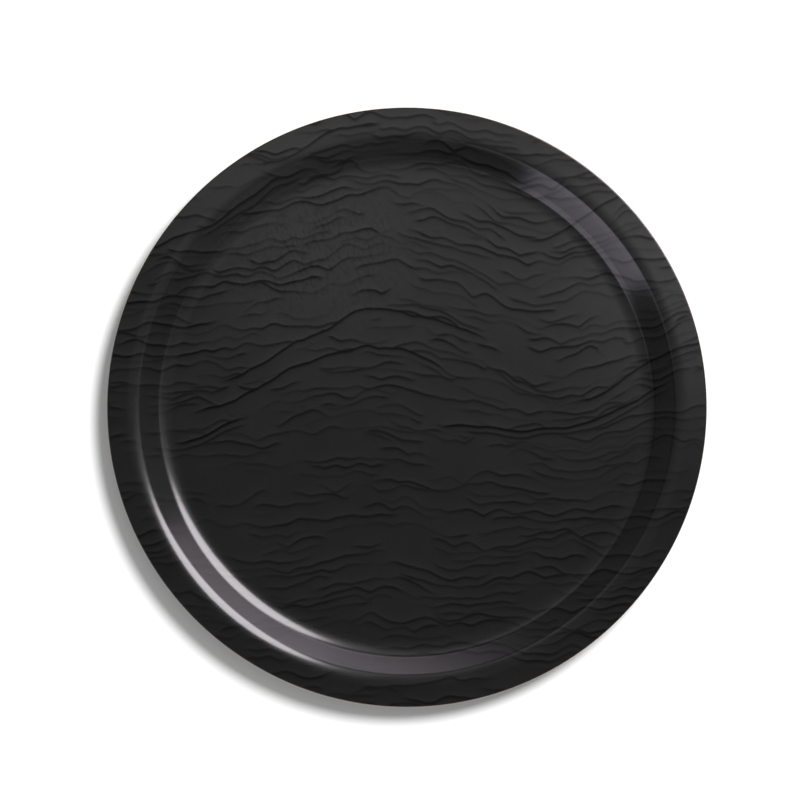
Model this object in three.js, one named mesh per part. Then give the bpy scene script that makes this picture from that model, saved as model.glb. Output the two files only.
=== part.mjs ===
// A round serving tray of form-pressed laminate. Five birch veneers, laid crosswise on each other, are pressed
// in one heated mould together with a printed face sheet under a clear wear overlay, and a plain backing sheet.
// Millimetres, +Z up. The origin is at the centre of the underside, on the surface that the tray stands on.

import * as THREE from "three";

// The tray as a whole.
const TRAY_DIAMETER = 310;
const TRAY_HEIGHT = 18; // from the underside of the floor to the top of the flange

// The rim, measured on the printed face. The floor takes whatever the rim leaves of the diameter.
const FLANGE_WIDTH = 9.6; // the level band that the hand takes hold of
const WALL_ANGLE = THREE.MathUtils.degToRad(46); // between the wall and the floor
const FOOT_BEND_RADIUS = 12.4; // where the floor turns up into the wall
const SHOULDER_BEND_RADIUS = 10.8; // where the wall turns out into the flange
const EDGE_ROUNDING = 0.8; // the sanded arris above and below the cut edge

// The lay-up.
const OVERLAY_THICKNESS = 0.1; // clear, wear-resistant melamine
const DECOR_THICKNESS = 0.2; // printed paper
const VENEER_THICKNESS = 0.56;
const VENEER_COUNT = 5;
const BACKING_THICKNESS = 0.3;
const GLUE_LINE = 0.04; // between neighbouring sheets

// How finely the round forms are faceted.
const SECTORS = 60;
const BEND_STEPS = 3;

const black = (roughness) => new THREE.MeshStandardMaterial({ color: 0x26262a, roughness, metalness: 0 });
const birch = (color) => new THREE.MeshStandardMaterial({ color, roughness: 0.6, metalness: 0 });

const overlayMaterial = black(0.28);
const decorMaterial = black(0.5);
const backingMaterial = black(0.55);
const longGrainMaterial = birch(0xe0c197);
const crossGrainMaterial = birch(0xc49a69);

// The sheets from the printed face down to the back. Neighbouring veneers have their grain at right angles.
const veneers = Array.from({ length: VENEER_COUNT }, (_, i) => ({
  name: `birch_veneer_${i + 1}`,
  thickness: VENEER_THICKNESS,
  material: i % 2 === 0 ? longGrainMaterial : crossGrainMaterial,
}));
const layUp = [
  { name: "wear_overlay", thickness: OVERLAY_THICKNESS, material: overlayMaterial },
  { name: "decor_sheet", thickness: DECOR_THICKNESS, material: decorMaterial },
  ...veneers,
  { name: "backing_sheet", thickness: BACKING_THICKNESS, material: backingMaterial },
];

const sheetThickness = layUp.reduce((sum, sheet) => sum + sheet.thickness, 0);
const laminateThickness = sheetThickness + GLUE_LINE * (layUp.length - 1);

// The printed face in section, as radius and height, follows from the sizes above.
const edgeRadius = TRAY_DIAMETER / 2;
const bendRise = (FOOT_BEND_RADIUS + SHOULDER_BEND_RADIUS) * (1 - Math.cos(WALL_ANGLE));
const wallRise = TRAY_HEIGHT - laminateThickness - bendRise;
const wallRun = wallRise / Math.tan(WALL_ANGLE);
const shoulderRadius = edgeRadius - FLANGE_WIDTH; // where the level flange begins
const wallTopRadius = shoulderRadius - SHOULDER_BEND_RADIUS * Math.sin(WALL_ANGLE);
const floorRadius = wallTopRadius - wallRun - FOOT_BEND_RADIUS * Math.sin(WALL_ANGLE);
const footBendCentre = new THREE.Vector2(floorRadius, laminateThickness + FOOT_BEND_RADIUS);
const shoulderBendCentre = new THREE.Vector2(shoulderRadius, TRAY_HEIGHT - SHOULDER_BEND_RADIUS);

// How far the rounded edge lies inside the tray's radius at a depth below the printed face.
function edgeInset(depth) {
  const toArris = Math.max(0, Math.min(depth, laminateThickness - depth));
  const intoRounding = Math.max(0, EDGE_ROUNDING - toArris);
  return EDGE_ROUNDING - Math.sqrt(EDGE_ROUNDING ** 2 - intoRounding ** 2);
}

// The points of one bend. The angle is the slope of the sheet, and the radius is negative in the foot bend,
// whose centre lies above the sheet.
function bend(centre, radius, fromAngle, toAngle) {
  return Array.from({ length: BEND_STEPS + 1 }, (_, i) => {
    const slope = THREE.MathUtils.lerp(fromAngle, toAngle, i / BEND_STEPS);
    return new THREE.Vector2(centre.x - radius * Math.sin(slope), centre.y + radius * Math.cos(slope));
  });
}

// The surface that lies at a depth below the printed face and runs parallel to it, from the axis to the edge.
function faceAt(depth) {
  return [
    new THREE.Vector2(0, laminateThickness - depth),
    ...bend(footBendCentre, -(FOOT_BEND_RADIUS + depth), 0, WALL_ANGLE),
    ...bend(shoulderBendCentre, SHOULDER_BEND_RADIUS - depth, WALL_ANGLE, 0),
    new THREE.Vector2(edgeRadius - edgeInset(depth), TRAY_HEIGHT - depth),
  ];
}

function sheetMesh({ name, thickness, material }, depth) {
  const profile = [...faceAt(depth + thickness), ...faceAt(depth).reverse()];
  const geometry = new THREE.LatheGeometry(profile, SECTORS).rotateX(Math.PI / 2);
  const mesh = new THREE.Mesh(geometry, material);
  mesh.name = name;
  return mesh;
}

const tray = new THREE.Group();
let depth = 0;
for (const sheet of layUp) {
  tray.add(sheetMesh(sheet, depth));
  depth += sheet.thickness + GLUE_LINE;
}

export default tray;
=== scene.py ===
# %% [markdown]
# # A round serving tray of form-pressed laminate
# The tray is one shell, pressed from a stack of sheets: a clear wear overlay, a printed black face, five
# birch veneers laid crosswise, and a plain black backing. This lesson loads the packed model as a fixed
# frame and then makes each sheet again with fine round forms, real ply edges and a relief of wavy terraces
# under a clear gloss.

# %% Load the frame
import math

import bpy
import numpy as np
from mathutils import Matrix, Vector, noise


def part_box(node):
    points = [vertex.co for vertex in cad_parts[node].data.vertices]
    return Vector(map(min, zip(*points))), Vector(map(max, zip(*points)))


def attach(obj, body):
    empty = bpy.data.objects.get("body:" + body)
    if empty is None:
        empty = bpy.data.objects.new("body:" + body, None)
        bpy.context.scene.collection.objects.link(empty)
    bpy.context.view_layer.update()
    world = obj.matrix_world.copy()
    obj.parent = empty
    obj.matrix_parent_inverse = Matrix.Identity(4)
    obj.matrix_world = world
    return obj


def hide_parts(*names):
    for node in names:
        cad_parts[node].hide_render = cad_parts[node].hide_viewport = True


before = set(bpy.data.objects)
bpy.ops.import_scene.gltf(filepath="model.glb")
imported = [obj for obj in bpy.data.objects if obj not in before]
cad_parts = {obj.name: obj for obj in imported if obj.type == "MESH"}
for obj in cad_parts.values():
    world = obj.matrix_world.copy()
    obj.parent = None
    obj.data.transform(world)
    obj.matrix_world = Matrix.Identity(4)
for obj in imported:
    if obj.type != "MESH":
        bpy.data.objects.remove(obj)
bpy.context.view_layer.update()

# %% [markdown]
# ## Sizes
# A sheet's place in the stack can be read from its node's box. The top of its flange lies as deep below
# the top of the tray as its upper face lies below the printed face, and the underside of its floor lies as
# high above the table as there are sheets below it. Only the section of the rim has to be named again,
# with the bends' radii and angle.

# %% Read the sizes
MM = 0.001
edge_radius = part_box("birch_veneer_1")[1].x
tray_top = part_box("wear_overlay")[1].z
floor_thickness = 3.68 * MM

flange_width = 9.6 * MM
wall_angle = math.radians(46)
foot_bend = 12.4 * MM
shoulder_bend = 10.8 * MM
edge_rounding = 0.8 * MM

bend_rise = (foot_bend + shoulder_bend) * (1 - math.cos(wall_angle))
wall_run = (tray_top - floor_thickness - bend_rise) / math.tan(wall_angle)
shoulder_radius = edge_radius - flange_width
floor_radius = shoulder_radius - wall_run - (foot_bend + shoulder_bend) * math.sin(wall_angle)


def depths(node):
    """How deep a sheet's upper and lower faces lie below the printed face."""
    low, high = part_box(node)
    return tray_top - high.z, floor_thickness - low.z


print(f"floor radius {floor_radius / MM:.2f} mm, first veneer between {depths('birch_veneer_1')}")

# %% [markdown]
# ## The camera
# The camera looks straight down on the tray from about a metre and a half. The tray's centre is a little
# to the right of and below the middle of the picture, so the camera stands a little to the left and
# towards the back. Moving the camera does that without the slanted view that a shifted lens gives.

# %% Make the camera
camera_height = 1.518
camera_left = 3.57 * MM
camera_back = 3.77 * MM
picture_width = 413.3 * MM  # at the height of the flange

camera_data = bpy.data.cameras.new("camera")
camera_data.sensor_width = 36
camera_data.lens = camera_data.sensor_width * (camera_height - tray_top) / picture_width
camera = bpy.data.objects.new("camera", camera_data)
camera.location = (-camera_left, camera_back, camera_height)
bpy.context.scene.collection.objects.link(camera)
bpy.context.scene.camera = camera
print(f"lens {camera_data.lens:.1f} mm")

# %% [markdown]
# ## Shader maths as Python
# A shader's pattern is arithmetic on values that differ from point to point. Wiring each Math node by hand
# hides the formula, so a small class wraps a socket and overloads the operators: `1 - mask * 0.5` then
# adds the nodes that compute it. Its method `step` makes a smooth rise from 0 to 1, which paints nearly
# every border in this lesson.


# %% The socket class
class Value:
    """A node's output socket that Python's operators can compute with."""

    def __init__(self, tree, socket):
        self.tree = tree
        self.socket = socket

    def maths(self, operation, *others, clamp=False):
        """One Math node on this value and others."""
        node = self.tree.nodes.new("ShaderNodeMath")
        node.operation = operation
        node.use_clamp = clamp
        for place, given in zip(node.inputs, (self, *others)):
            connect(self.tree, place, given)
        return Value(self.tree, node.outputs[0])

    def __add__(self, other):
        return self.maths("ADD", other)

    def __mul__(self, other):
        return self.maths("MULTIPLY", other)

    def __sub__(self, other):
        return self.maths("SUBTRACT", other)

    def __rsub__(self, other):
        return (self * -1).maths("ADD", other)

    def __truediv__(self, other):
        return self.maths("DIVIDE", other)

    def __pow__(self, other):
        return self.maths("POWER", other)

    def __abs__(self):
        return self.maths("ABSOLUTE")

    __radd__ = __add__
    __rmul__ = __mul__

    def clamped(self):
        """The value, kept between 0 and 1."""
        return self.maths("ADD", 0, clamp=True)

    def step(self, start, end):
        """0 below start and 1 above end, with a smooth rise between them."""
        return Shader(self.tree).add(
            "ShaderNodeMapRange",
            {"interpolation_type": "SMOOTHSTEP", "clamp": True},
            {"Value": self, "From Min": start, "From Max": end},
        )


def distance(x, y, centre_x=0.0, centre_y=0.0):
    """How far a point lies from a centre, seen from above."""
    across = x - centre_x
    back = y - centre_y
    return (across * across + back * back) ** 0.5


def connect(tree, place, given):
    """Gives a socket a link or a plain value."""
    if isinstance(given, Value):
        tree.links.new(given.socket, place)
    else:
        place.default_value = given


print("operators:", [name for name in vars(Value) if name.startswith("__r")])

# %% [markdown]
# ## One method for every other node
# Textures, mixes and emission all come from the method `add`. It sets a node's settings first, because
# some of them change which sockets the node has, and then gives each socket a plain value or a link. Short
# methods on top of it name the nodes that every finish needs: a colour between two colours, the point's
# place and a noise.


# %% The node maker
class Shader:
    """Adds nodes to one node tree."""

    def __init__(self, tree):
        self.tree = tree

    def add(self, kind, settings=(), sockets=(), output=0):
        """Any node: its settings come first, then its sockets. Gives back one of its outputs."""
        node = self.tree.nodes.new(kind)
        for name, setting in dict(settings).items():
            setattr(node, name, setting)
        for name, given in dict(sockets).items():
            connect(self.tree, node.inputs[name], given)
        return Value(self.tree, node.outputs[output])

    def mix(self, factor, first, second):
        """A colour between two colours, which go into the node's sockets 6 and 7."""
        return self.add("ShaderNodeMix", {"data_type": "RGBA"}, {0: factor, 6: first, 7: second}, output=2)

    def place(self):
        """Where the point is, in metres in the tray's own frame."""
        return self.add("ShaderNodeTexCoord", output="Object")

    def split(self, vector):
        """The three numbers of a vector."""
        first = self.add("ShaderNodeSeparateXYZ", (), {0: vector})
        return [Value(self.tree, socket) for socket in first.socket.node.outputs]

    def join(self, x, y, z):
        """A vector of three numbers."""
        return self.add("ShaderNodeCombineXYZ", (), {"X": x, "Y": y, "Z": z})

    def stretched(self, x, y, z):
        """The point's place with each axis multiplied, so that a texture has that many waves a metre."""
        return self.add(
            "ShaderNodeVectorMath", {"operation": "MULTIPLY"}, {0: self.place(), 1: (x, y, z)}
        )

    def grain(self, place, detail=2.0, roughness=0.5, distortion=0.0):
        """Smooth noise between 0 and 1."""
        return self.add(
            "ShaderNodeTexNoise",
            {"noise_dimensions": "3D"},
            {
                "Vector": place,
                "Scale": 1.0,
                "Detail": detail,
                "Roughness": roughness,
                "Distortion": distortion,
            },
        )


def new_material(name):
    """A material with its Principled shader, and a Shader that adds nodes to it."""
    material = bpy.data.materials.new(name)
    material.use_nodes = True
    surface = next(n for n in material.node_tree.nodes if n.type == "BSDF_PRINCIPLED")
    return material, surface, Shader(material.node_tree)


print("node methods:", [name for name in vars(Shader) if not name.startswith("_")])

# %% [markdown]
# ## The section of a sheet
# Every sheet is a surface of revolution. Its two faces run parallel to the printed face, one deeper than
# the other, so the bends keep their centres and only their radii change. The trimmed edge is sanded round
# at both arrises: a sheet near the face or the back ends a little further in than the ones in the middle.


# %% Points of the section
def edge_inset(depth):
    """How far the rounded edge lies inside the tray's radius at a depth below the printed face."""
    to_arris = max(0.0, min(depth, floor_thickness - depth))
    into_rounding = max(0.0, edge_rounding - to_arris)
    return edge_rounding - math.sqrt(edge_rounding**2 - into_rounding**2)


def face_points(depth, bend_steps=14):
    """(radius, height) along one face of a sheet, from the start of the foot bend to the trimmed edge."""
    points = []
    for step in range(bend_steps + 1):
        slope = wall_angle * step / bend_steps
        radius = foot_bend + depth
        rise = radius * (1 - math.cos(slope))
        points.append((floor_radius + radius * math.sin(slope), floor_thickness - depth + rise))
    for step in range(bend_steps + 1):
        slope = wall_angle * (1 - step / bend_steps)
        radius = shoulder_bend - depth
        fall = shoulder_bend - radius * math.cos(slope)
        points.append((shoulder_radius - radius * math.sin(slope), tray_top - fall))
    points.append((edge_radius - edge_inset(depth), tray_top - depth))
    return points


def edge_points(upper, lower, steps):
    """The trimmed edge of one sheet, from its upper face down to its lower face, without the two ends."""
    inner = [upper + (lower - upper) * step / steps for step in range(1, steps)]
    return [(edge_radius - edge_inset(depth), tray_top - depth) for depth in inner]


print("section of the printed face:", len(face_points(0)), "points")

# %% [markdown]
# ## A round sheet as a mesh
# A lathe needs more points round the edge than near the centre, or the middle becomes a knot of slivers.
# So each ring has its own count, and where the count doubles from one ring to the next, three triangles
# fill the place of one square. The body is closed: the rings run over the upper face, down the edge, and
# back along the lower face.


# %% Build a round body from rings
def ring_faces(start, count, next_start, next_count):
    """The faces between two neighbouring rings, the second outside or below the first."""
    faces = []
    if count == next_count:
        for i in range(count):
            j = (i + 1) % count
            faces.append((start + i, next_start + i, next_start + j, start + j))
    elif next_count == 2 * count:
        for i in range(count):
            j = (i + 1) % count
            a, b, c = next_start + 2 * i, next_start + 2 * i + 1, next_start + 2 * j
            faces += [(start + i, a, b), (start + i, b, start + j), (start + j, b, c)]
    else:
        for i in range(next_count):
            j = (i + 1) % next_count
            a, b, c = start + 2 * i, start + 2 * i + 1, start + 2 * j
            faces += [(next_start + i, b, a), (next_start + i, next_start + j, b), (next_start + j, c, b)]
    return faces


def round_body(name, rings):
    """A closed mesh from (radius, height, points round) rings. Both ends close on the axis."""
    spots, faces, start = [], [], 0
    for k, (radius, height, count) in enumerate(rings):
        turn = np.arange(count) * (2 * math.pi / count)
        spots.append(np.stack([radius * np.cos(turn), radius * np.sin(turn), np.full(count, height)], 1))
        if k:
            before = rings[k - 1][2]
            faces += ring_faces(start - before, before, start, count)
        start += count
    top, bottom = start, start + 1
    spots.append(np.array([[0, 0, rings[0][1]], [0, 0, rings[-1][1]]]))
    first, last = rings[0][2], rings[-1][2]
    faces += [(top, i, (i + 1) % first) for i in range(first)]
    faces += [(bottom, start - last + (i + 1) % last, start - last + i) for i in range(last)]
    mesh = bpy.data.meshes.new(name)
    mesh.from_pydata(np.concatenate(spots).tolist(), [], faces)
    mesh.shade_smooth()
    piece = bpy.data.objects.new(name, mesh)
    bpy.context.scene.collection.objects.link(piece)
    print(f"{name}: {len(mesh.vertices)} points, {len(mesh.polygons)} faces")
    return piece


# %% [markdown]
# ## Tying a piece to the frame
# The packed model says which body each sheet belongs to. The tray is rigid, so every piece rides its one
# body, the root. A piece also takes its finish and hides the packed nodes that it stands in for.


# %% Dress a piece
def dress(piece, material, slot, *nodes):
    """Puts a finish on a piece and ties it to the frame."""
    piece.data.materials.append(material)
    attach(piece, "root")
    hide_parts(*nodes)
    print(f"{piece.name}: {material.name}, in place of {', '.join(nodes)}")


# %% [markdown]
# ## Birch veneer
# A rotary-peeled birch veneer is pale and even, with fine fibres along the grain. At the trimmed edge of
# the tray only its thickness shows. Where the edge runs along the grain the fibres are cut lengthwise and
# look light. Where it runs across the grain the cut goes through the open pores, which drink the lacquer
# and look dark. So one ply changes from light to dark every quarter turn, and the next ply does the
# opposite. The shader works that out from the place: on the edge the surface faces along the radius, so
# the share of the radius along the grain says how much end grain is cut.


# %% The veneer's material
FIBRE_DARK, FIBRE_PALE = (0.50, 0.315, 0.165, 1), (0.70, 0.50, 0.31, 1)
END_PALE, PORE_DARK = (0.42, 0.245, 0.120, 1), (0.235, 0.120, 0.052, 1)
HEARTWOOD = (0.34, 0.195, 0.095, 1)


def veneer_material(name, along_x):
    """Birch with its grain along X or along Y."""
    material, surface, shader = new_material(name)
    x, y, z = shader.split(shader.place())
    radius = distance(x, y) + 0.0001
    end_grain = (abs((x if along_x else y) / radius)).step(0.35, 0.95)

    fibre_waves = (60, 1900, 1900) if along_x else (1900, 60, 1900)
    fibres = shader.grain(shader.stretched(*fibre_waves), detail=3)
    pores = (1 - shader.grain(shader.stretched(2600, 2600, 2600), detail=1)).step(0.52, 0.66)
    patches = shader.grain(shader.stretched(38, 38, 38), detail=2)

    side_cut = shader.mix(fibres.step(0.3, 0.7), FIBRE_DARK, FIBRE_PALE)
    end_cut = shader.mix(pores, PORE_DARK, END_PALE)
    cut = shader.mix(end_grain, side_cut, end_cut)
    shaded = shader.mix(patches.step(0.35, 0.75) * 0.35, cut, HEARTWOOD)
    connect(shader.tree, surface.inputs["Base Color"], shaded)
    connect(shader.tree, surface.inputs["Roughness"], 0.36 + end_grain * 0.16 + fibres * 0.08)
    bump = shader.add(
        "ShaderNodeBump", (), {"Height": fibres + pores * 0.6, "Strength": 0.35, "Distance": 0.06 * MM}
    )
    connect(shader.tree, surface.inputs["Normal"], bump)
    surface.inputs["Coat Weight"].default_value = 0.35
    surface.inputs["Coat Roughness"].default_value = 0.22
    return material


birch_along_x = veneer_material("birch_along_x", True)
birch_along_y = veneer_material("birch_along_y", False)
print("veneer finishes:", birch_along_x.name, birch_along_y.name)

# %% [markdown]
# ## The five veneers
# The plies alternate: the first, third and fifth have their grain along X and the others along Y.
# Crosswise plies keep the tray from warping. The hair-fine gaps between them stand for the glue lines,
# which show dark at the edge.

# %% Make the veneers
PLY_ROUND = 480  # points round the rings of a plain sheet
EDGE_STEPS = 5  # steps down its trimmed edge
FLOOR_RINGS = ((0.25, 60), (0.5, 120), (0.75, 240))  # share of the floor's radius, and points round


def sheet_rings(upper, lower):
    """The rings of a plain sheet: a few over its floor, then its upper face, its edge and its lower face."""
    over = [(floor_radius * share, floor_thickness - upper, count) for share, count in FLOOR_RINGS]
    under = [(floor_radius * share, floor_thickness - lower, count) for share, count in FLOOR_RINGS]
    outer = face_points(upper) + edge_points(upper, lower, EDGE_STEPS) + face_points(lower)[::-1]
    return over + [(radius, height, PLY_ROUND) for radius, height in outer] + under[::-1]


for ply in range(1, 6):
    node = f"birch_veneer_{ply}"
    veneer = round_body(f"veneer_{ply}", sheet_rings(*depths(node)))
    if ply % 2:
        dress(veneer, birch_along_x, "birch_long_grain", node)
    else:
        dress(veneer, birch_along_y, "birch_cross_grain", node)

# %% [markdown]
# ## The backing
# The underside is a plain black laminate with the fine, even texture of the press plate. It has no gloss
# layer, so a tray doesn't slide on a wet table. Years of tables polish the ring where the floor meets the
# foot bend and leave hair scratches there, so the roughness falls a little in that ring and a stretched
# noise lays scratches over it.

# %% Make the backing
backing_black, surface, shader = new_material("backing_black")
x, y, z = shader.split(shader.place())
radius = distance(x, y)
contact_ring = radius.step(0.098, 0.112) * (1 - radius.step(0.1205, 0.1235)) * (1 - z.step(0.0002, 0.001))
plate_texture = shader.grain(shader.stretched(1500, 1500, 1500), detail=3, roughness=0.6)
cloudy = shader.grain(shader.stretched(45, 45, 45), detail=4, roughness=0.6)
scratches = shader.grain(shader.stretched(90, 3200, 90), detail=1).step(0.66, 0.70)
more_scratches = shader.grain(shader.stretched(2700, 120, 120), detail=1).step(0.67, 0.71)
worn = contact_ring * (scratches + more_scratches).clamped()
deep_black, soft_black = (0.0125, 0.0125, 0.0132, 1), (0.0175, 0.0172, 0.0178, 1)
scratch_grey = (0.055, 0.054, 0.055, 1)
backing_colour = shader.mix(cloudy.step(0.3, 0.7), deep_black, soft_black)
connect(shader.tree, surface.inputs["Base Color"], shader.mix(worn, backing_colour, scratch_grey))
connect(shader.tree, surface.inputs["Roughness"], 0.47 + cloudy * 0.12 - contact_ring * 0.12)
bump = shader.add("ShaderNodeBump", (), {"Height": plate_texture, "Strength": 0.5, "Distance": 0.12 * MM})
connect(shader.tree, surface.inputs["Normal"], bump)
surface.inputs["Specular IOR Level"].default_value = 0.45

backing = round_body("backing", sheet_rings(*depths("backing_sheet")))
dress(backing, backing_black, "backing_laminate", "backing_sheet")

# %% [markdown]
# ## The terraces
# The printed face carries a relief of wavy terraces, like sand that the tide has left: low uneven steps,
# most of them nearly level, with rounded humps. They rise a little towards a crest near the middle, sink
# into a valley on the right and rise again. A few long creases run slantwise through them, and the steps
# end where they meet a crease.
#
# A noise texture can't make edges that end at one another like that. Layers can: they are laid from the
# back to the front, each with its own wavy edge, and each point keeps the drop below the edge of the layer
# that covers it. Guide lines say how high the edges run at four stations, and how much of each step shows
# there: the front left has the fewest. The layers between two guides blend them.

# %% Guide lines
stations = (-107, -8, 80, 155)
# A guide's height at the four stations in mm, and the share of each step that shows there.
guides = [
    ((170, 176, 170, 168), (0.9, 0.9, 0.9, 0.9)),
    ((146, 154, 146, 142), (0.9, 0.9, 0.9, 0.9)),
    ((116, 126, 113, 112), (0.8, 0.9, 1.0, 0.9)),
    ((86, 97, 81, 86), (0.75, 0.9, 1.0, 0.9)),
    ((56, 69, 51, 60), (0.8, 0.9, 1.0, 0.9)),
    ((28, 38, 20, 36), (0.9, 0.8, 1.0, 1.0)),
    ((-2, 6, -8, 8), (0.75, 0.65, 1.0, 0.9)),
    ((-32, -28, -34, -24), (0.6, 0.5, 1.0, 0.8)),
    ((-64, -60, -64, -58), (0.6, 0.55, 1.0, 0.8)),
    ((-96, -93, -96, -92), (0.75, 0.7, 0.95, 0.85)),
    ((-130, -130, -130, -128), (0.9, 1.0, 0.9, 0.9)),
    ((-168, -168, -168, -166), (0.9, 0.9, 0.9, 0.9)),
]
STEP_SPACING = 3.9  # mm between neighbouring steps
# The long creases, from the back to the front: the points each runs through, and where it shows.
creases = [
    (
        ((-160, 112), (-81, 126), (-60, 129), (-43, 142), (-29, 145), (0, 148), (60, 154), (160, 162)),
        ((-82, -10),),
    ),
    (
        ((-160, 74), (-133, 83), (-102, 95), (-91, 102), (-67, 119), (-54, 123), (0, 130), (160, 140)),
        ((-170, -45),),
    ),
    (((-160, 58), (-60, 84), (0, 94), (72, 86), (112, 111), (160, 134)), ((58, 170),)),
    (
        ((-160, 4), (-90, 15), (-76, 23), (-59, 35), (-36, 44), (-26, 51), (-12, 52), (22, 44), (75, 22))
        + ((160, 52),),
        ((-100, 45),),
    ),
    (
        ((-160, -8), (-112, -3), (-88, 4), (-58, 22), (-22, 32), (2, 30), (32, 12), (72, -1), (100, 5))
        + ((125, 24), (160, 38)),
        ((-115, 25), (84, 170)),
    ),
    (
        ((-160, -24), (-124, -19), (-106, -14), (-86, -4), (-50, 2), (-10, 0), (16, -9), (60, -12))
        + ((92, -9), (122, 5), (160, 30)),
        ((-125, -80), (12, 140)),
    ),
]
print(len(guides), "guides,", len(creases), "creases")

# %% [markdown]
# ## Smooth lines and waves
# All lines are sampled at the same places across the tray, a quarter of a millimetre apart, so that they
# can be added and compared. A guide eases from station to station. A crease goes through its points with
# rounded corners. A wave is noise with a length and a row: the next row has nearly the same wave, as real
# terraces follow one another.

# %% Draw lines
along = np.linspace(-160, 160, 1281)


def smooth(share):
    """Eases a share between 0 and 1 in and out."""
    share = np.clip(share, 0, 1)
    return share * share * (3 - 2 * share)


def between_stations(values):
    """A smooth line through four values at the stations, level beyond them."""
    line = np.full(len(along), float(values[0]))
    for k in range(len(stations) - 1):
        share = (along - stations[k]) / (stations[k + 1] - stations[k])
        line += (values[k + 1] - values[k]) * smooth(share)
    return line


def through(points):
    """A line through points, with its corners rounded off."""
    line = np.interp(along, [x for x, _ in points], [y for _, y in points])
    window = np.hanning(61)
    padded = np.pad(line, 30, mode="edge")
    return np.convolve(padded, window / window.sum(), mode="valid")


def wave(length, row, seed):
    """Smooth noise along a step, between about -1 and 1. Neighbouring rows have nearly the same wave."""
    return np.array([noise.noise((x / length, row, seed)) for x in along]) * 2


print(len(along), "places across the tray")

# %% [markdown]
# ## Laying the steps
# A step's edge is its guide line plus rounded humps, a finer waviness and a long swell. It is present
# along some stretches and absent along others, and it gives way where a crease is near. Towards the front
# the steps get shallower. Each crease is deeper than a step and has a fainter one that follows it in
# front.

# %% The level steps
HUMPS = (19, 3.4)  # length and height of each kind of wave, in mm
FINE_WAVES = (9, 0.9)
SWELL = (42, 3.2)
ROUND_HUMP = 0.03  # keeps the foot of a hump from being a sharp cusp
STRETCH_LENGTH = 30  # mm of a stretch where a step is present or absent
FRONT_DEPTH = 0.72  # how deep the steps at the front are, against those at the back


def step_edge(base, row):
    """The wavy edge of one step."""
    humps = HUMPS[1] * np.sqrt(wave(HUMPS[0], row * 0.5, 3.7) ** 2 + ROUND_HUMP)
    fine_waves = FINE_WAVES[1] * wave(FINE_WAVES[0], row * 0.7, 9.1)
    return base + humps + fine_waves + SWELL[1] * wave(SWELL[0], row * 0.22, 5.3)


def level_steps(row_shift, behind, ahead):
    """The nearly level steps between a crease behind and a crease ahead."""
    steps = []
    for g, ((heights, shown), (next_heights, next_shown)) in enumerate(zip(guides, guides[1:])):
        line, next_line = between_stations(heights), between_stations(next_heights)
        count = round(float(np.mean(line - next_line)) / STEP_SPACING)
        for k in range(count):
            row = (g * 8 + k) * 0.87 + row_shift
            share = (k + row_shift % 1) / count
            base = line + (next_line - line) * share
            showing = between_stations(shown) * (1 - share) + between_stations(next_shown) * share
            edge = step_edge(base, row)
            room = smooth((behind - edge - 1) / 2) * smooth((edge - ahead + 1) / 2)
            if room.max() > 0:
                present = smooth((wave(STRETCH_LENGTH, row * 0.85, 21.5) + 1.5 * showing - 0.72) / 0.5)
                depth = np.clip(0.8 + 0.5 * wave(31, row * 1.3, 40.2), 0.35, 1.1)
                depth *= FRONT_DEPTH + (1 - FRONT_DEPTH) * smooth((base + 15) / 50)
                steps.append((edge, present * room, depth))
    return steps


print(f"a step's edge wanders over {np.ptp(step_edge(0, 1)):.1f} mm")

# %% The creases
CREASE_DEPTH, FOLLOWER_DEPTH = 1.15, 0.8  # against the depth of a step
FOLLOWER_GAP = 3.6  # mm from a crease to the one that follows it
CREASE_END = 12  # mm over which a crease fades out


def crease_steps(line, shows, number):
    """A crease and a fainter one that follows it in front."""
    ripple = 0.9 * wave(14, number * 3.1, 60.5) + 0.3 * wave(5, number * 2.3, 61.5)
    follows = smooth((wave(40, number * 4.7, 62.5) + 0.2) / 0.4)
    follower = line + ripple - FOLLOWER_GAP + 0.8 * wave(20, number * 5.3, 63.5)
    first = (line + ripple, shows, np.full(len(along), CREASE_DEPTH))
    return [first, (follower, shows * follows, np.full(len(along), FOLLOWER_DEPTH))]


def shown_share(stretches):
    """1 along the stretches where a crease shows, easing to 0 beyond them."""
    share = np.zeros(len(along))
    for start, end in stretches:
        share += smooth((along - start) / CREASE_END) * smooth((end - along) / CREASE_END)
    return share


print("share of each crease that shows:", [round(float(shown_share(s).mean()), 2) for _, s in creases])


# %% Lay them from the back to the front
def make_steps():
    """[(edge height, how clear the step is, how deep it is)] along x, from the back to the front."""
    steps = []
    behind = np.full(len(along), 400.0)
    for number, (points, stretches) in enumerate(creases):
        line = through(points)
        steps += level_steps(number * 0.37, behind, line)
        shows = shown_share(stretches)
        steps += crease_steps(line, shows, number)
        # The next steps keep clear of a crease only where it shows.
        behind = line + 1 - 4 * shows
    return steps + level_steps(len(creases) * 0.37, behind, np.full(len(along), -400.0))


steps = make_steps()
print(len(steps), "steps")

# %% [markdown]
# ## From steps to a relief
# At each point of the face, every layer whose edge lies above the point covers what is behind it. Below
# its edge the surface first drops steeply and then flattens out. The print is dark at the edge, and below it
# a painted shade fades away. Just above an edge the surface lifts to a low lip, which gets a painted
# highlight. A layer whose step is unclear at that place covers nothing, so a step can fade out instead of
# stopping dead.

# %% The relief at a point
# All in mm.
STEP_DROP = 0.11  # how deep a clear step is
EDGE_SOFTNESS = 0.5  # the width of the edge itself
DROP_REACH = 0.7  # how far below its edge the surface drops
FLAT_REACH = 3.0  # how far below its edge the surface comes level again
LIP_REACH = 1.8  # how far above its edge the surface lifts
LIP_SHARE = 0.4  # how high the lip is, against the drop
LINE_PLACE, LINE_WIDTH = 0.6, 0.95  # the dark line below the edge
FADE_REACH = 2.4  # how far the painted shade below an edge fades
FAR_ABOVE = 6  # beyond this a step has no effect on what lies above it


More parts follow.
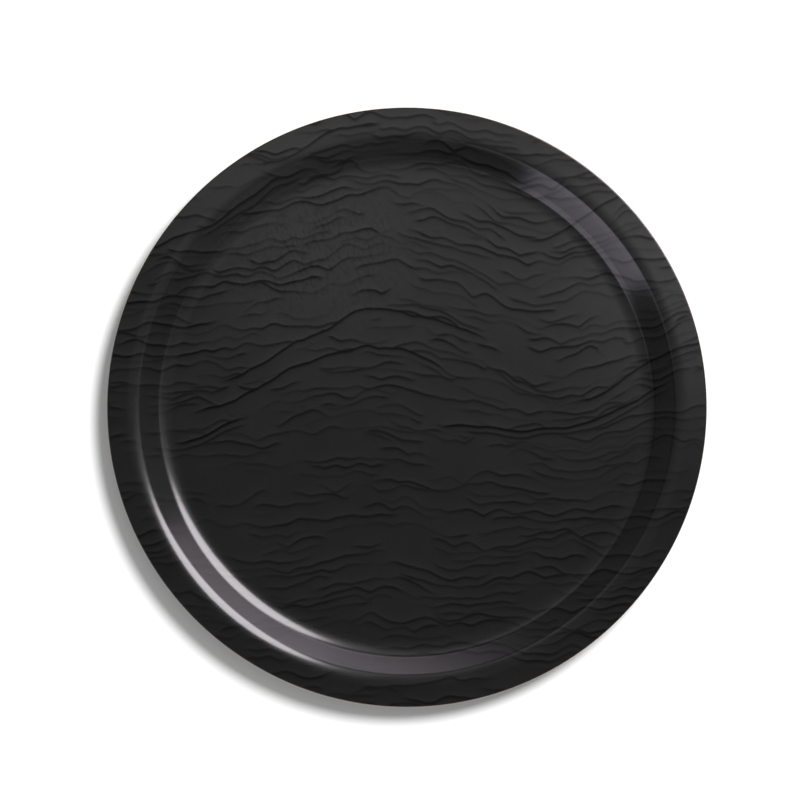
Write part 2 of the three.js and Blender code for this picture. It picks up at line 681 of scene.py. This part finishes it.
def relief(x, y):
    """(height in mm, how dark the print and its painted shade are, how strong the lip's painted highlight
    is) at points given in mm.
    """
    height = np.zeros(len(x))
    dark = np.zeros(len(x))
    light = np.zeros(len(x))
    for edge, clear, depth in steps:
        below = np.interp(x, along, edge) - y
        near = below > -FAR_ABOVE
        strength = np.interp(x[near], along, clear)
        deep = np.interp(x[near], along, depth)
        below = below[near]
        covered = np.clip(below / EDGE_SOFTNESS + 0.5, 0, 1)
        inside = covered * strength
        down = np.maximum(below, 0)
        up = np.maximum(-below, 0)
        drop = -STEP_DROP * deep * (1 - np.exp(-down / DROP_REACH)) * np.exp(-down / FLAT_REACH)
        # The dark line under an edge is print. The fade below it is painted shade, and the lip above it is a
        # painted highlight.
        line = np.exp(-(((down - LINE_PLACE) / LINE_WIDTH) ** 2))
        shade = deep * (0.6 * line + 0.4 * np.exp(-down / FADE_REACH))
        lip = strength * deep * (1 - covered) * np.exp(-up / LIP_REACH)
        height[near] = np.maximum(height[near] * (1 - inside) + inside * drop, lip * LIP_SHARE * STEP_DROP)
        dark[near] = dark[near] * (1 - inside) + inside * shade
        light[near] = np.maximum(light[near] * (1 - inside), lip)
    return height, dark, light


print("relief at the centre:", [round(float(value[0]), 3) for value in relief(np.zeros(1), np.zeros(1))])

# %% [markdown]
# ## The printed face
# The overlay melts into the decor sheet in the press, so the two are one skin: a print under a clear
# layer. It is a body of its own, a third of a millimetre thick, with a cell of half a millimetre, because
# a step's dark line is only about one millimetre wide. The relief is real: each point moves along the
# height, and the steps run over the wall and the flange to the edge, because the pattern is printed before
# the sheet is pressed.

# %% Make the face
CELL = 0.52 * MM
FACE_ROUND = 1920  # points round the outer rings
UNDER_ROUND = 480  # points round the rings of its underside


def points_round(radius):
    """How many points a ring needs to keep its cells small, doubling outwards."""
    count = 60
    while 2 * math.pi * radius / count > 1.06 * CELL and count < FACE_ROUND:
        count *= 2
    return count


def even_points(points, spacing):
    """Points at an even spacing along a section, through its own points."""
    section = np.array(points)
    run = np.concatenate([[0], np.cumsum(np.linalg.norm(np.diff(section, axis=0), axis=1))])
    spots = np.linspace(0, run[-1], int(run[-1] / spacing) + 1)
    return list(zip(np.interp(spots, run, section[:, 0]), np.interp(spots, run, section[:, 1])))


face_lower = depths("decor_sheet")[1]
floor_steps = int(floor_radius / CELL)
upper_rings = [(floor_radius * k / floor_steps, floor_thickness) for k in range(1, floor_steps)]
upper_rings += even_points(face_points(0, 40), CELL)
upper_rings = [(radius, height, points_round(radius)) for radius, height in upper_rings]
edge_rings = [(radius, height, FACE_ROUND) for radius, height in edge_points(0, face_lower, 6)]
lower_rings = [(radius, height, UNDER_ROUND) for radius, height in face_points(face_lower)[::-1]]
lower_rings[0] = (*lower_rings[0][:2], FACE_ROUND)
inset_radius = (lower_rings[0][0] + shoulder_radius) / 2
lower_rings.insert(1, (inset_radius, lower_rings[0][1], FACE_ROUND // 2))
floor_under = floor_thickness - face_lower
lower_rings += [(floor_radius * share, floor_under, count) for share, count in FLOOR_RINGS[::-1]]

face = round_body("printed_face", upper_rings + edge_rings + lower_rings)

# %% [markdown]
# ## Pressing the steps
# The points of the upper face come first in the mesh, and the last but one is the point at its centre.
# Only they move. The relief fades out before the trimmed edge, which stays a clean circle, and it is
# shallower in the two bends and on the wall, where the press stretches the sheet. How dark the print and
# its painted shade are, and how much painted highlight the lips get, goes into two attributes of the mesh,
# which the finish reads.

# %% Press the steps into the face
STEPS_ON_WALL = 0.35  # how deep the steps are on the wall, against those on the floor
upper_count = sum(count for _, _, count in upper_rings)
spots = np.empty(len(face.data.vertices) * 3, np.float32)
face.data.vertices.foreach_get("co", spots)
spots = spots.reshape(-1, 3).astype(float)
on_top = np.zeros(len(spots), bool)
on_top[:upper_count] = True
on_top[-2] = True
height, dark, light = relief(spots[on_top, 0] / MM, spots[on_top, 1] / MM)
from_centre = np.hypot(spots[on_top, 0], spots[on_top, 1])
fade_out = np.clip((edge_radius - from_centre - 0.3 * MM) / (1.2 * MM), 0, 1)
bend_starts = (floor_radius - 2 * MM, floor_radius + 3 * MM, shoulder_radius - 3 * MM, shoulder_radius)
bent = np.interp(from_centre, bend_starts, (0, 1, 1, 0))
fade_out *= 1 - (1 - STEPS_ON_WALL) * bent
spots[on_top, 2] += height * MM * fade_out
face.data.vertices.foreach_set("co", spots.astype(np.float32).ravel())
face.data.update()

# The two attributes hold the print's dark line with its painted shade, and the lips' painted highlight.
for name, amount in (("step_print_and_shade", dark), ("step_lip_highlight", light)):
    layer = face.data.attributes.new(name, "FLOAT", "POINT")
    whole = np.zeros(len(spots), np.float32)
    whole[on_top] = amount
    layer.data.foreach_set("value", whole)
print(f"relief from {height.min():.3f} to {height.max():.3f} mm")

# %% [markdown]
# ## The face's finish
# The print is charcoal, with a faint cloudy mottle and a fine paper grain. In the steps it is nearly
# black with painted shade, and on their lips a little lighter with a painted highlight. At the back left it
# has a patch of fine slanting wrinkles, like leather.
# Over it lies the clear overlay, smooth and glossy. The coat of the Principled shader is that overlay: the
# colour, the grain and the bump belong to the print below, and the coat reflects the studio on its own.
# The print below has no reflection of its own, so only its colour shows through.
#
# A wrinkle scatters what the smooth coat would reflect, so the coat is thinned there. In a step's hollow
# the coat is thinned too, which is painted shade in the reflection. In the bends at the front left, where
# the tent's bright panel gleams, that painted shade is mostly left out: the gleam there is so bright that it
# drowns the print.

# %% The print
printed_black, surface, shader = new_material("printed_black")
x, y, z = shader.split(shader.place())
radius = distance(x, y)
# Painted shade and painted highlight of the steps, read from the mesh.
step_print_and_shade = shader.add("ShaderNodeAttribute", {"attribute_name": "step_print_and_shade"}, output="Fac")
step_lip_highlight = shader.add("ShaderNodeAttribute", {"attribute_name": "step_lip_highlight"}, output="Fac")

cloud = shader.grain(shader.stretched(30, 40, 30), detail=5, roughness=0.6)
paper = shader.grain(shader.stretched(1700, 1700, 1700), detail=2)
slanted = shader.join(x * 420 + y * 190, y * 190 - x * 70, 0.0)
creased = shader.grain(slanted, detail=2, roughness=0.5, distortion=0.5)
from_patch = (((x + 0.050) * 0.8) ** 2 + (y - 0.078) * (y - 0.078)) ** 0.5
patch = (1 - from_patch.step(0.012, 0.066)) * 0.85 + 0.15
mottle = (cloud - 0.5) * 0.8 + (paper - 0.5) * 0.3
wrinkles = (creased - 0.5) * patch * 2.2 + (patch - 0.15) * 0.25
charcoal, pale_charcoal = (0.0056, 0.0056, 0.0056, 1), (0.0110, 0.0110, 0.0110, 1)
# Painted light and shade: the lips get a painted highlight, and the hollows below each edge a painted shade.
lip_highlight_grey, hollow_shade_black = (0.0155, 0.0154, 0.0154, 1), (0.0012, 0.0012, 0.0012, 1)
ground = shader.mix((0.5 + mottle + wrinkles).clamped(), charcoal, pale_charcoal)
lit = shader.mix((step_lip_highlight * 0.65).clamped(), ground, lip_highlight_grey)
print_and_painted_shade = shader.mix(step_print_and_shade.clamped(), lit, hollow_shade_black)
connect(shader.tree, surface.inputs["Base Color"], print_and_painted_shade)
connect(shader.tree, surface.inputs["Roughness"], 0.52 + (creased - 0.5) * 0.2)
grain_height = creased * patch * 0.8 + paper * 0.2
bump = shader.add("ShaderNodeBump", (), {"Height": grain_height, "Strength": 0.5, "Distance": 0.06 * MM})
connect(shader.tree, surface.inputs["Normal"], bump)
surface.inputs["Specular IOR Level"].default_value = 0.0
print("print painted with", len(shader.tree.nodes), "nodes")

# %% [markdown]
# ## The clear coat
# The share of the coat changes over the face as said above, and its roughness is one number. A roughness
# of 0.17 blurs the edges of a bright panel's reflection by about a millimetre in the tight bends, as the
# pressed overlay does.

# %% The clear coat
bends = radius.step(0.1195, 0.1235) * (1 - radius.step(0.1435, 0.1465))
gleaming = bends * ((x + y) / radius * -0.7).step(0.35, 0.75)
# Painted shade in the reflection: the coat is thinned in each step's hollow, less in the bends and least
# where the tent's panel gleams at the front left.
hollow_shade = (step_print_and_shade * 0.54).clamped() * (1 - bends * 0.4) * (1 - gleaming * 0.8)
leathery = (creased.step(0.42, 0.68) * patch * 0.45).clamped()
connect(shader.tree, surface.inputs["Coat Weight"], (1 - hollow_shade) * (1 - leathery * (1 - bends)))
surface.inputs["Coat Roughness"].default_value = 0.17
surface.inputs["Coat IOR"].default_value = 1.5
dress(face, printed_black, "clear_overlay", "wear_overlay", "decor_sheet")

# %% [markdown]
# ## The floor
# The tray stands on a plain white table. The table is a wide disc, so that no edge of it shows from any
# side, and it has no gloss, so that it shows nothing but the tray's own shadow. Far from the tray it glows
# a little, which keeps it as white as the room behind it.


# %% Make the floor
def disc(name, radius, height):
    """A flat round sheet, level, centred on the tray."""
    bpy.ops.mesh.primitive_circle_add(vertices=96, radius=radius, fill_type="NGON", location=(0, 0, height))
    sheet = bpy.context.object
    sheet.name = name
    print(f"{name}: radius {radius} m at {height} m")
    return sheet


floor = disc("floor", 30, -0.02 * MM)
floor_white, surface, shader = new_material("floor_white")
x, y, z = shader.split(shader.place())
far_off = distance(x, y).step(0.2, 0.8)
surface.inputs["Base Color"].default_value = (0.85, 0.85, 0.85, 1)
surface.inputs["Roughness"].default_value = 1.0
surface.inputs["Specular IOR Level"].default_value = 0.0
surface.inputs["Emission Color"].default_value = (1, 1, 1, 1)
connect(shader.tree, surface.inputs["Emission Strength"], far_off * 0.7)
floor.data.materials.append(floor_white)

# %% [markdown]
# ## The light
# A black glossy tray shows two different things. Its colour comes from the light that falls on it, and its
# shape from what it reflects. So the two are set apart, as a photographer does with lamps and reflector
# boards. A soft lamp high at the back right gives the short shadow at the front left, and an even white
# room gives the rest. The reflections come from a light tent: a dome that only reflections see, with
# bright soft panels painted on it.

# %% The lamp and the room
lamp_data = bpy.data.lights.new("lamp", "POINT")
lamp_data.energy = 249
lamp_data.shadow_soft_size = 0.38
lamp = bpy.data.objects.new("lamp", lamp_data)
lamp_azimuth = math.radians(48)
lamp_distance = 1.2
lamp_height = 1.93
lamp.location = (lamp_distance * math.cos(lamp_azimuth), lamp_distance * math.sin(lamp_azimuth), lamp_height)
lamp.visible_glossy = False
bpy.context.scene.collection.objects.link(lamp)

room_light = 0.46
room = bpy.data.worlds.new("room")
bpy.context.scene.world = room
room.use_nodes = True
shader = Shader(room.node_tree)
background = next(n for n in room.node_tree.nodes if n.type == "BACKGROUND")
seen = shader.add("ShaderNodeLightPath", output="Is Camera Ray")
connect(shader.tree, background.inputs["Strength"], room_light + seen * 0.59)
background.inputs["Color"].default_value = (1, 1, 1, 1)
print("lamp at", tuple(round(part, 2) for part in lamp.location), "room light", room_light)

# %% [markdown]
# ## Light that only reflections see
# The tent and the cloth above the tray must not light the table or show in the picture. So they are hidden
# from every kind of ray but the glossy ones, and their materials only glow.


# %% Helpers for the tent and the cloth
def only_in_reflections(thing):
    """Hides a thing from all but glossy rays."""
    for kind in ("camera", "diffuse", "transmission", "shadow", "volume_scatter"):
        setattr(thing, "visible_" + kind, False)


def light_material(name):
    """A material with nothing but its output, and a Shader that adds nodes to it."""
    material = bpy.data.materials.new(name)
    material.use_nodes = True
    material.cycles.emission_sampling = "NONE"
    nodes = material.node_tree.nodes
    nodes.remove(next(n for n in nodes if n.type == "BSDF_PRINCIPLED"))
    return material, Shader(material.node_tree)


def glowing(shader, colour, strength):
    """An emission shader's output."""
    return shader.add("ShaderNodeEmission", (), {"Color": colour, "Strength": strength})


def together(shader, *parts):
    """Shaders added together, as the surface of the material."""
    whole = parts[0]
    for part in parts[1:]:
        whole = shader.add("ShaderNodeAddShader", (), {0: whole, 1: part})
    output = next(n for n in shader.tree.nodes if n.type == "OUTPUT_MATERIAL")
    connect(shader.tree, output.inputs["Surface"], whole)


print("helpers for the tent and the cloth are ready")

# %% [markdown]
# ## The light tent
# Each panel of the tent is a formula of the direction: the azimuth, anticlockwise from +X, and the
# elevation above the table, both in degrees. A panel can be an oval with a soft border or a board with
# four borders.

# %% Make the tent
tent_radius = 4.0
bpy.ops.mesh.primitive_uv_sphere_add(segments=64, ring_count=32, radius=tent_radius)
tent = bpy.context.object
tent.name = "light_tent"
tent.data.shade_smooth()
only_in_reflections(tent)

tent_light, shader = light_material("tent_light")
direction = shader.add("ShaderNodeVectorMath", {"operation": "NORMALIZE"}, {0: shader.place()})
x, y, z = shader.split(direction)
DEGREE = 180 / math.pi
elevation = z.maths("ARCSINE") * DEGREE


def azimuth_from(centre):
    """The azimuth in degrees, counted from a centre, so that it doesn't jump near a panel."""
    turn = math.radians(centre)
    ahead = x * math.cos(turn) + y * math.sin(turn)
    aside = y * math.cos(turn) - x * math.sin(turn)
    return aside.maths("ARCTAN2", ahead) * DEGREE


def oval(centre, height, half_width, half_height, softness):
    """1 in the middle of an oval panel, falling to 0 over its soft border."""
    across = azimuth_from(centre) / half_width
    upward = (elevation - height) / half_height
    return 1 - (across * across + upward * upward).step(1 - softness, 1 + softness)


def board(centre, first, last, low, high):
    """1 on a board. Each border is given as where it begins to fade and where it is gone."""
    across = azimuth_from(centre)
    sides = across.step(first[1], first[0]) * (1 - across.step(*last))
    return sides * elevation.step(low[1], low[0]) * (1 - elevation.step(*high))


print("tent radius", tent_radius, "m")

# %% [markdown]
# ## The tent's panels
# A tall oval panel at the back right makes the two bright lines in the bends at the front left, and a
# faint halo round it softens their borders. A low board below it lights up the sloping wall at the front
# left. It is dimmer on its right and has a bright spot in the middle. A board at the front left does the
# same for the wall at the back right. The rest of the tent glows faintly, a little more at the front right
# and near the table. A black board at the back left keeps the bends at the front right dark.

# %% Paint the panels
tall_panel = oval(44.5, 31, 25.2, 22, 0.28) * 12.2
halo = oval(44.5, 40, 36, 26, 0.9) * 0.8 + oval(10, 27, 42, 7, 0.7) * 0.2
back_strength = 2.3 - oval(38, 2, 22, 12, 0.9) * 0.95 + oval(61, 2, 12, 12, 0.9) * 0.7
back_board = board(66, (-37, -41), (8, 58), (-4, -6), (8, 16)) * back_strength
front_board = board(225, (-16, -18), (16, 18), (-4, -6), (31, 35)) * 2.1
front_halo = oval(225, 31, 38, 4, 0.7) * 0.7
front_glow = oval(282, 36, 45, 30, 0.9) * 0.12 + oval(300, 4, 30, 20, 0.7) * 0.14
near_table = (1 - elevation.step(4, 18)) * 0.07
black_board = oval(140, 26, 55, 22, 0.8) * 0.9
together(
    shader,
    glowing(shader, (1.0, 0.945, 0.99, 1), tall_panel + halo),
    glowing(shader, (1.0, 0.87, 1.0, 1), back_board),
    glowing(shader, (0.96, 0.90, 1.03, 1), front_board + front_halo),
    glowing(shader, (1, 1, 1, 1), front_glow + near_table + (1 - black_board) * 0.07),
)
tent.data.materials.append(tent_light)
print("tent painted with", len(shader.tree.nodes), "nodes")

# %% [markdown]
# ## The scrim
# A sheet of thin cloth hangs a hand's length above the tray. Because it hangs so near, each part of the
# tray reflects the part of the cloth right above it, so the cloth says how grey the level floor and the
# flange look. It is dark at the front and glows towards the back, which turns the floor of the tray from
# black to charcoal. It is dim above the left of the flange and brighter above the right, above the
# leathery patch and along the back of the flange.

# %% Make the scrim
scrim = disc("scrim", 0.25, 0.14)
only_in_reflections(scrim)
scrim_cloth, shader = light_material("scrim_cloth")
x, y, z = shader.split(shader.place())
back_azimuth = math.radians(80)
towards_back = x * math.cos(back_azimuth) + y * math.sin(back_azimuth)
from_middle = distance(x, y)
left_dimming = distance(x, y, -0.145, 0.068).step(0, 0.07) * 0.7 + 0.3
back_glow = towards_back.step(-0.06, 0.17) * 0.57 * left_dimming
right_glow = (1 - distance(x, y, 0.18, 0.09).step(0.02, 0.13)) * 0.5
floor_glow = (1 - from_middle.step(0.11, 0.16)) * 0.06
patch_glow = (1 - distance(x, y, -0.055, 0.085).step(0.02, 0.075)) * 0.1
flange_glow = from_middle.step(0.14, 0.158) * towards_back.step(0, 0.14) * 0.1
hem = 1 - from_middle.step(0.19, 0.25)
cloth_glow = (back_glow + right_glow + floor_glow + patch_glow + flange_glow) * hem
see_through = shader.add("ShaderNodeBsdfTransparent")
together(shader, see_through, glowing(shader, (1, 1, 1, 1), cloth_glow))
scrim.data.materials.append(scrim_cloth)
print("cloth painted with", len(shader.tree.nodes), "nodes")

# %% [markdown]
# ## The picture's tones
# The standard view keeps white paper white and lets the dark tones stay as dark as the shader says.

# %% Set the tones and finish
bpy.context.scene.view_settings.view_transform = "Standard"
